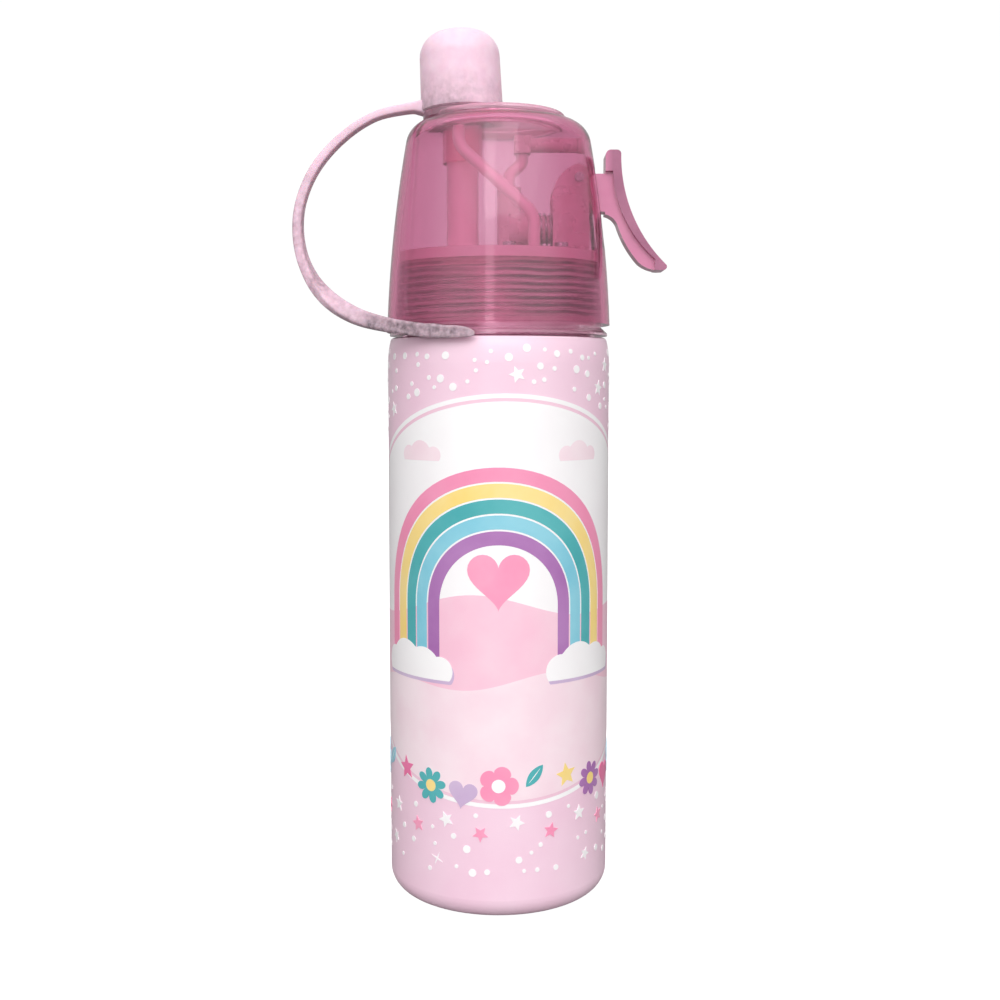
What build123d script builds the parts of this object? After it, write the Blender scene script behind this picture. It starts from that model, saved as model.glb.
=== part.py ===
"""Kids aluminium water bottle with a mist pump in its screw lid, in millimetres.

+Z is up and the origin is the centre of the base. +X is the trigger side, -X the side of the
spout and the strap loop, and -Y the front.
"""

import os
from math import cos, pi, radians, sin, tan

from build123d import *

# ---- bottle -------------------------------------------------------------------------------
BODY_R = 32.0
BODY_TOP = 161.5
WALL = 0.9
FOOT_CORNER = 6.0  # radius of the rounded edge at the base
FOOT_IN_R = 23.6  # inner edge of the ring that the bottle stands on
DOME_RISE = 3.2  # how far the base is pressed up at its centre
WAIST_START = 154.0  # the can narrows slightly from here to its top edge
WAIST_R = 31.3
NECK_R = 26.6  # outside of the neck, at the root of its thread
MOUTH_R = 25.2
NECK_TOP = 180.2

# ---- screw thread between neck and lid -----------------------------------------------------
PITCH = 3.5
THREAD_DEPTH = 0.9
THREAD_GAP = 0.3
NECK_THREAD_Z = 164.5
NECK_TURNS = 4
LID_TURNS = 3
BORE_R = NECK_R + THREAD_DEPTH + THREAD_GAP  # inside of the lid's threaded base

# ---- lid shell -----------------------------------------------------------------------------
SHELL_Z = 165.2
SHELL_R = 32.1
SHELL_WALL = 2.0
SHOULDER_Z = 216.7
LID_TOP = 223.0
TOP_HOLE_R = 18.0
SLOT_Z = (187.0, 209.8)  # the window that the trigger passes through
SLOT_HALF = 5.2

# ---- lid base, the threaded ring with its deck ---------------------------------------------
BASE_Z = 162.1
BASE_FLANGE_R = 31.4
GROOVE_R = 29.6  # floor of the groove that holds the strap collar
DECK_Z = (182.2, 185.2)
BASE_GAP = 0.2

# ---- mouthpiece, spout and cap -------------------------------------------------------------
DISC_R = 19.0
DISC_Z = (LID_TOP + 0.1, LID_TOP + 1.7)
SPOUT_X = -10.3
SPOUT_LEAN = 2.5  # degrees towards -X
SPOUT_LENGTH = 18.0
SPOUT_BORE_R = 4.0
CAP_R = 11.7
CAP_HEIGHT = 24.6
CAP_SEAT = 2.0  # the cap's lower edge above the spout's root
CAP_CAVITY_R = 9.6

# ---- mist pump -----------------------------------------------------------------------------
PUMP_Z = 192.5
PUMP_BORE_R = 3.2
TOWER_X = 3.0  # the valve tower that stands over the dip tube
TOWER_TOP = 203.0
BALL_R = 1.5
SEAT_R = 1.2
CHAMBER_R = 2.0
INLET_SEAT_Z = 187.2
OUTLET_SEAT_Z = 197.2
ROD_R = 1.8
SPRING_SEAT_X = 20.5
SPRING_SEAT_R = 4.8
SPRING_WIRE_R = 0.3
CYLINDER_STEP_X = 11.0
CYLINDER_MOUTH_X = 15.5
DIP_TUBE_R = 2.0
DIP_TUBE_END_Z = 6.5
NOZZLE_Z = 216.3

# ---- trigger -------------------------------------------------------------------------------
PIVOT = (22.5, 206.5)  # X and Z of the pin
PIN_R = 1.25
ARM = 14.0  # from the pin to the nose that pushes the piston
PULL = 14.0  # degrees of travel
LEVER_HALF = 4.6
WEB_HALF = 3.2
HUB_HALF = 4.9

# ---- small fittings ------------------------------------------------------------------------
VENT = (9.8, -12.0)  # X and Y of the vent valve in the deck
VENT_TOP = (-11.0, -10.5)
HOSE_BORE_R = 1.0
HOSE_R = 1.7
PUMP_SCREWS = [(TOWER_X, 6.8), (TOWER_X, -6.8)]
FRAME_SCREWS = [(17.5, 9.8), (17.5, -9.8)]
FOOT_TOP = DECK_Z[1] + 1.8
PLATE_TOP = DECK_Z[1] + 1.3

# ---- strap and its collar, angles in degrees from +X ---------------------------------------
COLLAR_ARC = (60.0, 258.0)
BAND_ARC = (240.0, 258.0)
COLLAR_Z = (163.05, 165.05)
BAND_Z = (161.2, 163.9)
BAND_R = (32.4, 33.5)
STRAP_R = 2.2
STRAP_ROUTE = [
    (-17.3, -29.96, 162.9),
    (-29.5, -23.0, 164.2),
    (-41.5, -15.8, 167.9),
    (-51.3, -9.4, 175.6),
    (-57.0, -4.6, 187.0),
    (-57.6, -2.0, 199.0),
    (-52.4, -0.6, 211.6),
    (-43.4, 0.0, 220.7),
    (-33.4, 0.0, 226.0),
    (-22.9, 0.0, 227.1),
]


def tube(outer, inner, low, high, x=0.0, y=0.0):
    """An upright pipe, or a rod where inner is 0."""
    made = Cylinder(outer, high - low, align=(Align.CENTER, Align.CENTER, Align.MIN))
    if inner:
        made -= Cylinder(inner, high - low, align=(Align.CENTER, Align.CENTER, Align.MIN))
    return Pos(x, y, low) * made


def rod_x(radius, low, high, z, y=0.0):
    """A rod along X."""
    rod = Cylinder(radius, high - low, align=(Align.CENTER, Align.CENTER, Align.MIN))
    return Pos(low, y, z) * Rot(0, 90, 0) * rod


def rod_y(radius, half, x, z):
    """A rod along Y, centred on the XZ plane."""
    return Pos(x, 0, z) * Rot(90, 0, 0) * Cylinder(radius, 2 * half)


def block(x, y, z):
    """A box between pairs of coordinates."""
    size = [high - low for low, high in (x, y, z)]
    return Pos(x[0], y[0], z[0]) * Box(*size, align=(Align.MIN,) * 3)


def turned(*edges):
    """The solid that a closed outline of (radius, height) edges makes when turned about Z."""
    return revolve(make_face([Plane.XZ * edge for edge in edges]), Axis.Z)


def thread(radius, start, turns, outward):
    """A ridge on a right-hand helix, sunk a little into the wall it stands on."""
    way = 1 if outward else -1
    root, flank, sunk = 0.85, 0.4, 0.3
    path = Pos(0, 0, start) * Helix(PITCH, PITCH * turns, radius)
    outline = Polyline(
        (-way * sunk, -root),
        (way * THREAD_DEPTH, -flank),
        (way * THREAD_DEPTH, flank),
        (-way * sunk, root),
        close=True,
    )
    at_start = Plane(origin=path @ 0, x_dir=(1, 0, 0), z_dir=path % 0)
    return sweep(at_start * make_face(outline), path=path, is_frenet=True)


def shell_r(z):
    """Outer radius of the lid's side wall, which closes in towards the top."""
    up = z - SHELL_Z
    return SHELL_R - 0.0395 * up - 0.00137 * up * up


def wall_arc(low, high, inset):
    """The side wall's curve between two heights, moved inwards by inset."""
    heights = (low, (low + high) / 2, high)
    return ThreePointArc(*[(shell_r(z) - inset, z) for z in heights])


def polar(radius, angle, z=0.0):
    return (radius * cos(radians(angle)), radius * sin(radians(angle)), z)


def sector(r_in, r_out, angles, heights):
    """Part of a ring between two angles."""
    start, end = angles
    middle = (start + end) / 2
    outline = [
        ThreePointArc(*[polar(r_out, a)[:2] for a in (start, middle, end)]),
        Line(polar(r_out, end)[:2], polar(r_in, end)[:2]),
        ThreePointArc(*[polar(r_in, a)[:2] for a in (end, middle, start)]),
        Line(polar(r_in, start)[:2], polar(r_out, start)[:2]),
    ]
    return Pos(0, 0, heights[0]) * extrude(make_face(outline), heights[1] - heights[0])


def swept_pipe(points, radii, outer, inner=0.0):
    """A round pipe along straight runs joined by tangent arcs."""
    path = FilletPolyline(*points, radius=radii)
    ring = Circle(outer) - Circle(inner) if inner else Circle(outer)
    return sweep(Plane(origin=path @ 0, z_dir=path % 0) * ring, path=path)


def widest_radii(points):
    """For each corner of a route, the largest arc that its two runs leave room for."""
    radii = []
    for before, here, after in zip(points, points[1:], points[2:]):
        one, two = Vector(here) - Vector(before), Vector(after) - Vector(here)
        half_turn = radians(one.get_angle(two)) / 2
        radii.append(0.45 * min(one.length, two.length) / tan(half_turn))
    return radii


# ---- bottle --------------------------------------------------------------------------------
def dome(low, rise):
    """The curve of the pressed-up base, from its centre out to its edge."""
    edge = FOOT_IN_R - 1
    ball = (edge * edge + rise * rise) / (2 * rise)
    drop = ball - (ball * ball - edge * edge / 4) ** 0.5
    return ThreePointArc((0, low + rise), (edge / 2, low + rise - drop), (edge, low))


def bottle_body():
    """The drawn can, with a pressed-up base, a flat shoulder and a rolled threaded neck."""
    corner = FOOT_CORNER * (1 - cos(pi / 4))
    foot = BODY_R - FOOT_CORNER
    inner = BODY_R - WALL
    lip = (NECK_R + MOUTH_R) / 2
    can = turned(
        dome(0.4, DOME_RISE - 0.4),
        Line((FOOT_IN_R - 1, 0.4), (FOOT_IN_R, 0)),
        Line((FOOT_IN_R, 0), (foot, 0)),
        ThreePointArc((foot, 0), (BODY_R - corner, corner), (BODY_R, FOOT_CORNER)),
        Line((BODY_R, FOOT_CORNER), (BODY_R, WAIST_START)),
        Bezier((BODY_R, WAIST_START), (BODY_R, 157.5), (WAIST_R, 160.4)),
        ThreePointArc((WAIST_R, 160.4), (30.95, 161.2), (30.1, BODY_TOP)),
        Line((30.1, BODY_TOP), (27.4, BODY_TOP)),
        ThreePointArc((27.4, BODY_TOP), (26.83, 161.73), (NECK_R, 162.3)),
        Line((NECK_R, 162.3), (NECK_R, NECK_TOP - 0.7)),
        ThreePointArc((NECK_R, NECK_TOP - 0.7), (lip, NECK_TOP), (MOUTH_R, NECK_TOP - 0.7)),
        Line((MOUTH_R, NECK_TOP - 0.7), (MOUTH_R, 162.0)),
        ThreePointArc((MOUTH_R, 162.0), (25.6, 160.98), (26.6, 160.55)),
        Line((26.6, 160.55), (29.9, 160.55)),
        ThreePointArc((29.9, 160.55), (30.35, 160.3), (30.45, 159.7)),
        Bezier((30.45, 159.7), (inner, 157.3), (inner, WAIST_START)),
        Line((inner, WAIST_START), (inner, FOOT_CORNER)),
        ThreePointArc(
            (inner, FOOT_CORNER), (inner - corner * 0.85, WALL + corner * 0.85), (foot, WALL)
        ),
        Line((foot, WALL), (FOOT_IN_R, WALL)),
        Line((FOOT_IN_R, WALL), (FOOT_IN_R - 1, 0.4 + WALL)),
        dome(0.4 + WALL, DOME_RISE - 0.4),
        Line((0, DOME_RISE + WALL), (0, DOME_RISE)),
    )
    return can + thread(NECK_R, NECK_THREAD_Z, NECK_TURNS, outward=True)


def lid_gasket():
    return tube(27.2, 24.2, NECK_TOP + 0.05, DECK_Z[0] - 0.05)


# ---- lid shell and base --------------------------------------------------------------------
def lid_shell():
    """The clear bell of the lid, open below and above, with the trigger's window."""
    top_in = LID_TOP - SHELL_WALL
    inner_top = SHOULDER_Z - 0.5
    bell = turned(
        Line((SHELL_R - SHELL_WALL, SHELL_Z), (SHELL_R, SHELL_Z)),
        wall_arc(SHELL_Z, SHOULDER_Z, 0),
        ThreePointArc((shell_r(SHOULDER_Z), SHOULDER_Z), (24.75, 220.3), (21.3, 222.4)),
        Line((21.3, 222.4), (TOP_HOLE_R, LID_TOP)),
        Line((TOP_HOLE_R, LID_TOP), (TOP_HOLE_R, top_in)),
        Line((TOP_HOLE_R, top_in), (20.6, 220.55)),
        ThreePointArc((20.6, 220.55), (23.2, 218.9), (shell_r(inner_top) - SHELL_WALL, inner_top)),
        wall_arc(inner_top, SHELL_Z, SHELL_WALL),
    )
    window = block((20, 36), (-SLOT_HALF, SLOT_HALF), SLOT_Z)
    window = fillet(window.edges().filter_by(Axis.X), 2.0)
    nozzle_hole = rod_x(2.4, 20, 30, NOZZLE_Z)
    return bell - window - nozzle_hole


def screw_sites():
    return PUMP_SCREWS + FRAME_SCREWS


def lid_base():
    """The threaded ring that screws on the neck, closed by the deck that carries the pump."""
    inset = SHELL_WALL + BASE_GAP
    seat = SHELL_Z + 0.1
    deck_low, deck_top = DECK_Z
    ring = turned(
        Line((BORE_R, BASE_Z), (BASE_FLANGE_R, BASE_Z)),
        Line((BASE_FLANGE_R, BASE_Z), (BASE_FLANGE_R, BASE_Z + 0.7)),
        Line((BASE_FLANGE_R, BASE_Z + 0.7), (GROOVE_R, COLLAR_Z[1] - 0.6)),
        Line((GROOVE_R, COLLAR_Z[1] - 0.6), (GROOVE_R, seat)),
        Line((GROOVE_R, seat), (shell_r(seat) - inset, seat)),
        wall_arc(seat, deck_top, inset),
        Line((shell_r(deck_top) - inset, deck_top), (0, deck_top)),
        Line((0, deck_top), (0, deck_low)),
        Line((0, deck_low), (BORE_R, deck_low)),
        Line((BORE_R, deck_low), (BORE_R, BASE_Z)),
    )
    ring += thread(BORE_R, NECK_THREAD_Z + PITCH / 2, LID_TURNS, outward=False)
    for x, y in screw_sites():
        ring += tube(2.4, 0, deck_low - 2.4, deck_low, x, y)
        ring -= tube(0.9, 0, deck_low - 1.8, deck_top, x, y)
    ring -= tube(SPOUT_BORE_R, 0, deck_low, deck_top, SPOUT_X)
    ring -= tube(SPOUT_BORE_R + 0.7, 0, deck_top - 1.5, deck_top, SPOUT_X)
    ring -= tube(3.0, 0, deck_low, deck_top, TOWER_X)
    return ring - tube(2.0, 0, deck_low, deck_top, *VENT)


# ---- drinking side -------------------------------------------------------------------------
def on_spout(local):
    """Carries a shape from the spout's own upright frame to its leaning place on the disc."""
    return Pos(SPOUT_X, 0, DISC_Z[0] + 0.6) * Rot(0, -SPOUT_LEAN, 0) * local


def mouthpiece():
    """The top disc with its raised rim, the drinking spout, and the spigots below it."""
    floor = DISC_Z[1] - 0.7
    disc = tube(DISC_R, 0, DISC_Z[0], DISC_Z[1])
    disc = fillet(disc.edges().group_by(Axis.Z)[-1], 0.8)
    disc -= tube(DISC_R - 1.9, 0, floor, DISC_Z[1])
    disc += tube(TOP_HOLE_R - 0.1, 16.0, LID_TOP - 1.9, DISC_Z[0])
    disc += tube(5.7, 0, 211.0, floor, SPOUT_X)
    disc += tube(1.5, 0, LID_TOP - 1.9, floor, *VENT_TOP)
    disc += tube(HOSE_BORE_R - 0.05, 0, LID_TOP - 5.5, LID_TOP - 1.9, *VENT_TOP)
    spout = on_spout(
        turned(
            Line((0, -0.5), (11.2, -0.5)),
            Line((11.2, -0.5), (11.2, CAP_SEAT - 0.1)),
            Line((11.2, CAP_SEAT - 0.1), (9.3, CAP_SEAT - 0.1)),
            Line((9.3, CAP_SEAT - 0.1), (8.5, SPOUT_LENGTH - 2.4)),
            ThreePointArc((8.5, SPOUT_LENGTH - 2.4), (8.95, 16.6), (8.2, SPOUT_LENGTH)),
            Line((8.2, SPOUT_LENGTH), (0, SPOUT_LENGTH)),
            Line((0, SPOUT_LENGTH), (0, -0.5)),
        )
    )
    spout &= block((-40, 20), (-20, 20), (floor - 0.4, 260))
    made = disc + spout
    made -= on_spout(tube(6.8, 0, 6.0, SPOUT_LENGTH))
    made -= on_spout(tube(SPOUT_BORE_R, 0, -1.0, 6.5))
    made -= tube(SPOUT_BORE_R + 0.7, 0, 210.0, LID_TOP - 2.3, SPOUT_X)
    made -= tube(SPOUT_BORE_R, 0, LID_TOP - 2.5, DISC_Z[1], SPOUT_X)
    return made - tube(0.5, 0, LID_TOP - 6, DISC_Z[1], *VENT_TOP)


def drink_tube():
    return tube(SPOUT_BORE_R + 0.6, SPOUT_BORE_R - 0.1, DECK_Z[1] - 1.4, LID_TOP - 2.7, SPOUT_X)


def tube_grommet():
    grommet = tube(6.3, SPOUT_BORE_R + 0.65, DECK_Z[1], DECK_Z[1] + 2.0, SPOUT_X)
    return fillet(grommet.edges().group_by(Axis.Z)[-1].sort_by(SortBy.RADIUS)[-1], 0.7)


def vent_valve():
    """A duckbill valve that lets air in as the child drinks."""
    low, top = DECK_Z
    x, y = VENT
    valve = tube(2.0 - 0.05, 0, low, top, x, y)
    valve += tube(2.4, 0, top, top + 0.9, x, y)
    valve += tube(HOSE_BORE_R - 0.05, 0, top + 0.9, top + 4.0, x, y)
    valve += tube(2.6, 0, low - 0.9, low, x, y)
    bill_root = Pos(x, y, low - 0.9) * Circle(1.9)
    bill_tip = Pos(x, y, low - 4.4) * Rectangle(3.6, 0.9)
    valve += loft([bill_root, bill_tip])
    return valve - tube(0.5, 0, low - 0.5, top + 4.0, x, y)


def vent_hose():
    x_low, y_low = VENT
    x_top, y_top = VENT_TOP
    route = [
        (x_top, y_top, LID_TOP - 2.0),
        (x_top, y_top, 214.5),
        (x_low, y_low, 195.5),
        (x_low, y_low, DECK_Z[1] + 1.0),
    ]
    return swept_pipe(route, [6.0, 6.0], HOSE_R, HOSE_BORE_R)


def spout_cap():
    """The soft cap over the spout, with a plug that closes its bore."""
    dome = CAP_HEIGHT - 7.6
    ceiling = 20.4
    plug_low = SPOUT_LENGTH - 2.0
    return on_spout(
        turned(
            Line((CAP_CAVITY_R, CAP_SEAT), (CAP_R - 0.5, CAP_SEAT)),
            Line((CAP_R - 0.5, CAP_SEAT), (CAP_R, CAP_SEAT + 0.5)),
            Line((CAP_R, CAP_SEAT + 0.5), (CAP_R - 0.3, dome)),
            ThreePointArc((CAP_R - 0.3, dome), (9.58, CAP_HEIGHT - 2.75), (5.0, CAP_HEIGHT - 0.3)),
            Line((5.0, CAP_HEIGHT - 0.3), (0, CAP_HEIGHT)),
            Line((0, CAP_HEIGHT), (0, plug_low)),
            Line((0, plug_low), (5.8, plug_low)),
            Line((5.8, plug_low), (6.3, plug_low + 0.6)),
            Line((6.3, plug_low + 0.6), (6.3, ceiling)),
            Line((6.3, ceiling), (CAP_CAVITY_R - 1.6, ceiling)),
            Line((CAP_CAVITY_R - 1.6, ceiling), (CAP_CAVITY_R - 0.2, ceiling - 1.4)),
            Line((CAP_CAVITY_R - 0.2, ceiling - 1.4), (CAP_CAVITY_R, CAP_SEAT)),
        )
    )


def cap_strap():
    """The tether, from the band of its collar round to the side of the cap."""
    strap = swept_pipe(STRAP_ROUTE, widest_radii(STRAP_ROUTE), STRAP_R)
    return strap - sector(*BAND_R, BAND_ARC, BAND_Z)


def strap_collar():
    """An open ring that snaps in the groove under the shell, and the band that the strap leaves."""
    ring = sector(GROOVE_R + 0.1, BAND_R[0], COLLAR_ARC, COLLAR_Z)
    ring -= turned(
        Line((GROOVE_R, COLLAR_Z[0] - 0.2), (BASE_FLANGE_R + 0.2, COLLAR_Z[0] - 0.2)),
        Line((BASE_FLANGE_R + 0.2, COLLAR_Z[0] - 0.2), (GROOVE_R, COLLAR_Z[1] - 0.3)),
        Line((GROOVE_R, COLLAR_Z[1] - 0.3), (GROOVE_R, COLLAR_Z[0] - 0.2)),
    )
    return ring + sector(*BAND_R, BAND_ARC, BAND_Z)


# ---- mist pump -----------------------------------------------------------------------------
def valve_seat(z):
    """The hole and the cone above it that a ball closes."""
    cone = turned(
        Line((0, z), (SEAT_R, z)),
        Line((SEAT_R, z), (CHAMBER_R, z + 1.0)),
        Line((CHAMBER_R, z + 1.0), (0, z + 1.0)),
        Line((0, z + 1.0), (0, z)),
    )
    return Pos(TOWER_X, 0, 0) * cone


def pump_body():
    """One moulding: the cylinder, the tower with its two valve seats, the foot and the spigot."""
    deck_low, deck_top = DECK_Z
    body = rod_x(5.0, TOWER_X, CYLINDER_STEP_X, PUMP_Z)
    body += rod_x(4.0, CYLINDER_STEP_X, CYLINDER_MOUTH_X, PUMP_Z)
    body += tube(3.4, 0, deck_top, TOWER_TOP, TOWER_X)
    foot = block((TOWER_X - 3.6, TOWER_X + 3.6), (-9.2, 9.2), (deck_top, FOOT_TOP))
    body += fillet(foot.edges().filter_by(Axis.Z), 2.0)
    body += tube(2.9, 0, deck_low - 4.6, deck_top, TOWER_X)
    body -= rod_x(PUMP_BORE_R, TOWER_X + 2.8, CYLINDER_MOUTH_X, PUMP_Z)
    body -= rod_x(1.5, TOWER_X, TOWER_X + 3.0, PUMP_Z)
    body -= tube(DIP_TUBE_R, 0, deck_low - 4.6, deck_top - 1.6, TOWER_X)
    body -= tube(SEAT_R, 0, deck_top - 1.6, INLET_SEAT_Z, TOWER_X)
    body -= valve_seat(INLET_SEAT_Z)
    body -= tube(CHAMBER_R, 0, INLET_SEAT_Z + 1.0, OUTLET_SEAT_Z - 1.2, TOWER_X)
    body -= tube(SEAT_R, 0, OUTLET_SEAT_Z - 1.2, OUTLET_SEAT_Z, TOWER_X)
    body -= valve_seat(OUTLET_SEAT_Z)
    body -= tube(CHAMBER_R, 0, OUTLET_SEAT_Z + 1.0, TOWER_TOP, TOWER_X)
    for x, y in PUMP_SCREWS:
        body -= tube(1.0, 0, deck_top, FOOT_TOP, x, y)
    return body


def valve_ball(seat_z):
    return Pos(TOWER_X, 0, seat_z + 1.0) * Sphere(BALL_R)


def pump_piston():
    """Head with its seal groove, rod, and the flange that the trigger's nose pushes."""
    head = TOWER_X + 6.5
    piston = rod_x(PUMP_BORE_R - 0.1, head, head + 3.5, PUMP_Z)
    piston += rod_x(ROD_R, head + 3.5, SPRING_SEAT_X, PUMP_Z)
    piston += rod_x(SPRING_SEAT_R, SPRING_SEAT_X, SPRING_SEAT_X + 1.5, PUMP_Z)
    groove = rod_x(PUMP_BORE_R, head + 1.0, head + 2.5, PUMP_Z)
    return piston - (groove - rod_x(PUMP_BORE_R - 0.8, head + 1.0, head + 2.5, PUMP_Z))


def piston_seal():
    start = TOWER_X + 7.55
    ring = rod_x(PUMP_BORE_R - 0.03, start, start + 1.4, PUMP_Z)
    return ring - rod_x(PUMP_BORE_R - 0.78, start, start + 1.4, PUMP_Z)


def return_spring():
    """Pushes the piston and the trigger back out after each stroke."""
    start = CYLINDER_STEP_X + SPRING_WIRE_R + 0.1
    length = SPRING_SEAT_X - SPRING_WIRE_R - 0.1 - start
    coils = 6
    path = Helix(length / coils, length, 4.45, center=(start, 0, PUMP_Z), direction=(1, 0, 0))
    wire = Plane(origin=path @ 0, z_dir=path % 0) * Circle(SPRING_WIRE_R)
    return sweep(wire, path=path, is_frenet=True)


def outlet_fitting():
    """Closes the tower above the outlet ball and takes the riser hose."""
    fitting = tube(CHAMBER_R - 0.02, 0, TOWER_TOP - 1.8, TOWER_TOP, TOWER_X)
    fitting += tube(3.4, 0, TOWER_TOP, TOWER_TOP + 1.3, TOWER_X)
    fitting += tube(HOSE_BORE_R - 0.05, 0, TOWER_TOP + 1.3, TOWER_TOP + 3.7, TOWER_X)
    return fitting - tube(0.5, 0, TOWER_TOP - 1.8, TOWER_TOP + 3.7, TOWER_X)


def riser_hose():
    """Carries the water from the pump up to the nozzle."""
    route = [
        (TOWER_X, 0, TOWER_TOP + 1.4),
        (TOWER_X, 0, TOWER_TOP + 5.0),
        (TOWER_X + 3.8, 0, TOWER_TOP + 8.2),
        (TOWER_X + 3.8, 0, NOZZLE_Z - 2.6),
    ]
    return swept_pipe(route, [2.6, 2.6], HOSE_R, HOSE_BORE_R)


def nozzle_elbow():
    x = TOWER_X + 3.8
    elbow = block((x - 2.4, x + 2.4), (-2.4, 2.4), (NOZZLE_Z - 2.5, NOZZLE_Z + 2.4))
    elbow = fillet(elbow.edges().filter_by(Axis.Z), 0.8)
    elbow += rod_x(2.1, x, 22.6, NOZZLE_Z)
    elbow += tube(HOSE_BORE_R - 0.05, 0, NOZZLE_Z - 3.8, NOZZLE_Z - 2.5, x)
    elbow -= rod_x(1.1, x, 22.6, NOZZLE_Z)
    return elbow - tube(0.5, 0, NOZZLE_Z - 3.8, NOZZLE_Z, x)


def nozzle_tip():
    """The swirl insert that breaks the jet into mist, set in the shell."""
    tip = rod_x(2.25, 22.7, 26.2, NOZZLE_Z)
    tip += rod_x(1.05, 20.2, 22.7, NOZZLE_Z)
    tip -= rod_x(1.3, 25.6, 26.2, NOZZLE_Z)
    return tip - rod_x(0.3, 20.2, 26.2, NOZZLE_Z)


def dip_tube():
    """Reaches down to the base, cut at a slant so that it can't seal against it."""
    straw = tube(DIP_TUBE_R - 0.02, 1.3, DIP_TUBE_END_Z, DECK_Z[1] - 1.7, TOWER_X)
    slant = Pos(TOWER_X, 0, DIP_TUBE_END_Z) * Rot(0, 30, 0) * Box(12, 12, 4)
    return straw - slant


def pump_frame():
    """The plate and two ears that carry the trigger's pin."""
    deck_top = DECK_Z[1]
    frame = block((13.0, 25.5), (-7.0, 7.0), (deck_top, PLATE_TOP))
    wide = block((13.0, 21.5), (-12.4, 12.4), (deck_top, PLATE_TOP))
    frame += fillet(wide.edges().filter_by(Axis.Z), 1.5)
    x, z = PIVOT
    fin = Plane.XZ * make_face(
        [
            Line((15.3, deck_top), (15.3, 199.0)),
            ThreePointArc((15.3, 199.0), (16.9, 206.3), (x - 0.6, z + 3.6)),
            ThreePointArc((x - 0.6, z + 3.6), (24.4, 209.0), (25.0, z)),
            Line((25.0, z), (25.5, 190.0)),
            Line((25.5, 190.0), (25.5, deck_top)),
            Line((25.5, deck_top), (15.3, deck_top)),
        ]
    )
    thick, inside = 1.4, HUB_HALF + 0.3
    ear = extrude(fin, thick)
    for y in (-inside, inside + thick):
        frame += Pos(0, y, 0) * ear
    frame -= rod_y(PIN_R + 0.02, 8, x, z)
    for sx, sy in FRAME_SCREWS:
        frame -= tube(1.0, 0, deck_top, PLATE_TOP, sx, sy)
    return frame


def trigger_pin():
    return rod_y(PIN_R, HUB_HALF + 2.2, *PIVOT)


def pump_screws():
    """Four self-tapping screws with cross recesses: two hold the pump, two the frame."""
    made = []
    for sites, top in ((PUMP_SCREWS, FOOT_TOP), (FRAME_SCREWS, PLATE_TOP)):
        for x, y in sites:
            screw = tube(0.85, 0, top - 5.4, top, x, y) + tube(1.9, 0, top, top + 1.3, x, y)
            for half_x, half_y in ((1.2, 0.3), (0.3, 1.2)):
                screw -= block(
                    (x - half_x, x + half_x), (y - half_y, y + half_y), (top + 0.6, top + 1.3)
                )
            made.append(screw)
    return made


# ---- trigger -------------------------------------------------------------------------------
def plate(outline, half):
    """An outline in the XZ plane, thickened both ways along Y."""
    return extrude(Plane.XZ * make_face(outline), half, both=True)


def trigger_lever():
    """The finger lever with its upright stub, and the web and nose that reach the piston."""
    x, z = PIVOT
    finger = plate(
        [
            Line((30.4, 208.4), (30.4, 213.0)),
            ThreePointArc((30.4, 213.0), (30.84, 214.06), (31.9, 214.5)),
            Line((31.9, 214.5), (33.6, 214.5)),
            ThreePointArc((33.6, 214.5), (34.45, 214.15), (34.8, 213.3)),
            ThreePointArc((34.8, 213.3), (37.6, 197.8), (47.9, 182.3)),
            ThreePointArc((47.9, 182.3), (47.95, 181.25), (47.0, 180.8)),
            ThreePointArc((47.0, 180.8), (43.4, 181.15), (40.2, 182.9)),
            ThreePointArc((40.2, 182.9), (36.6, 187.8), (34.1, 193.2)),
            ThreePointArc((34.1, 193.2), (32.4, 195.7), (30.4, 196.6)),
            Line((30.4, 196.6), (30.4, 208.4)),
        ],
        LEVER_HALF,
    )
    rims = finger.edges().group_by(Axis.Y)
    for rim in (rims[0], rims[-1]):
        finger = fillet(rim.sort_by(SortBy.LENGTH)[-1], 0.8)
    beside_rib = make_face(
        [
            Line((29.0, 208.6), (32.5, 208.6)),
            ThreePointArc((32.5, 208.6), (35.2, 197.0), (44.7, 183.9)),
            Line((44.7, 183.9), (44.7, 179.0)),
            Line((44.7, 179.0), (29.0, 179.0)),
            Line((29.0, 179.0), (29.0, 208.6)),
        ]
    )
    for y in (-WEB_HALF, WEB_HALF + 3.0):
        finger -= Pos(0, y, 0) * extrude(Plane.XZ * beside_rib, 3.0)
    web = plate(
        [
            Line((x, z + 1.5), (31.5, z + 1.5)),
            Line((31.5, z + 1.5), (31.5, 197.2)),
            Line((31.5, 197.2), (27.2, 197.6)),
            Line((27.2, 197.6), (x + 1.4, z - 3.0)),
            Line((x + 1.4, z - 3.0), (x, z - 2.0)),
            Line((x, z - 2.0), (x, z + 1.5)),
        ],
        WEB_HALF,
    )
    half_pull = radians(PULL / 2)
    nose_x, nose_z = x + ARM * sin(half_pull), z - ARM * cos(half_pull)
    arm = Pos((x + nose_x) / 2, 0, (z + nose_z) / 2) * Rot(0, -PULL / 2, 0) * Box(2.4, 2 * WEB_HALF, ARM)
    lever = finger + web + arm + rod_y(2.0, WEB_HALF, nose_x, nose_z)
    lever += rod_y(3.0, HUB_HALF, x, z)
    return lever - rod_y(PIN_R + 0.05, HUB_HALF + 1, x, z)


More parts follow.
